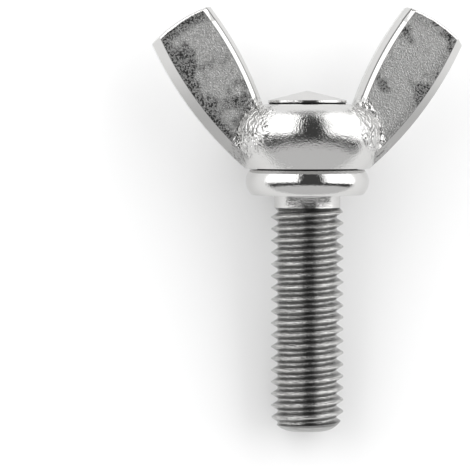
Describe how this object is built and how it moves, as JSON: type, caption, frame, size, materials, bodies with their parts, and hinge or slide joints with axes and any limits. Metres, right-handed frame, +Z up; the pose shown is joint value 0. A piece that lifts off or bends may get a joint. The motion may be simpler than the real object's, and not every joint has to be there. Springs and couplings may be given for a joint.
{
  "type": "wing screw",
  "caption": "Thumb-turned screw with flared wings on a round hub, a collar under it and a threaded shank.",
  "frame": {"origin": "on the table under the middle of the lying screw's bounding box", "axes": "+X along the level wings, +Y along the screw towards its head, +Z up from the table it lies on"},
  "size_m": [0.021, 0.0286, 0.01],
  "materials": {
    "nickel": "bright nickel plate on forged steel"
  },
  "bodies": {
    "root": {"wing_head": "nickel", "collar_screw": "nickel"}
  },
  "joints": []
}
